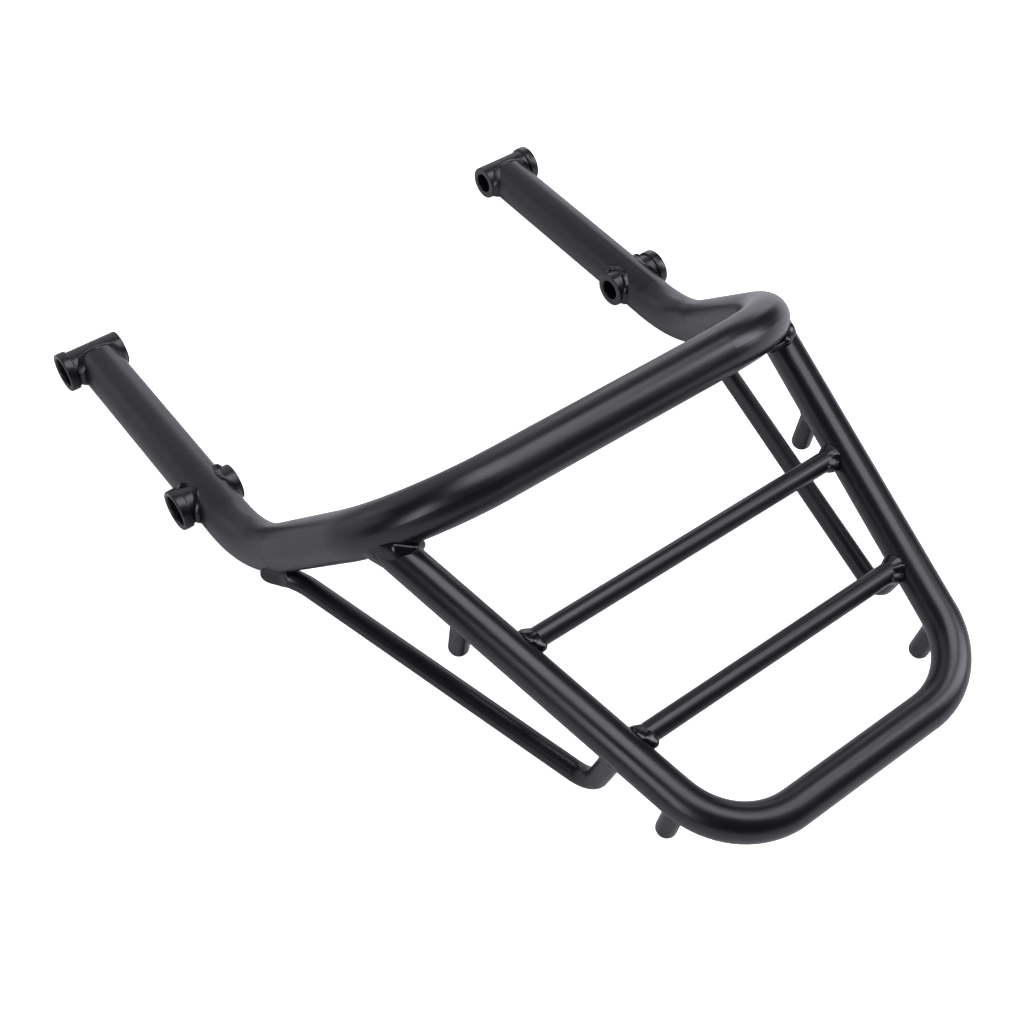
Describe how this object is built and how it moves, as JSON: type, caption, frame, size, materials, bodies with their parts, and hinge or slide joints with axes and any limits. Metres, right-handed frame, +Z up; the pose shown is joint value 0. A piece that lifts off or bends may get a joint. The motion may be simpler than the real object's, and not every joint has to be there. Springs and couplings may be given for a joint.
{
  "type": "motorcycle rear luggage rack",
  "caption": "Bent tube grab rail on bolt bushes with a welded carrier hoop, rungs, strap pegs and stays.",
  "frame": {"origin": "middle of the rack's width and length, on the surface that its arms lie on", "axes": "+Y to the front of the motorcycle, +Z up, +X to its right"},
  "size_m": [0.3306, 0.4744, 0.124],
  "materials": {
    "frame": "satin black paint",
    "bush": "satin black paint on turned steel",
    "weld": "gloss black paint on weld beads"
  },
  "bodies": {
    "root": {"grab_rail": "frame", "bush_front_left": "bush", "bush_front_right": "bush", "bush_rear_left": "bush", "bush_rear_right": "bush", "weld_bush_front_left": "weld", "weld_bush_front_right": "weld", "weld_bush_rear_left_inner": "weld", "weld_bush_rear_left_outer": "weld", "weld_bush_rear_right_inner": "weld", "weld_bush_rear_right_outer": "weld", "rack_hoop": "frame", "weld_hoop_left": "weld", "weld_hoop_right": "weld", "rung_front": "frame", "weld_rung_front_left": "weld", "weld_rung_front_right": "weld", "rung_rear": "frame", "weld_rung_rear_left": "weld", "weld_rung_rear_right": "weld", "stay_left": "frame", "weld_stay_front_left": "weld", "weld_stay_top_left": "weld", "stay_right": "frame", "weld_stay_front_right": "weld", "weld_stay_top_right": "weld", "peg_front_left": "frame", "weld_peg_front_left": "weld", "peg_front_right": "frame", "weld_peg_front_right": "weld", "peg_rear_left": "frame", "weld_peg_rear_left": "weld", "peg_rear_right": "frame", "weld_peg_rear_right": "weld"}
  },
  "joints": []
}
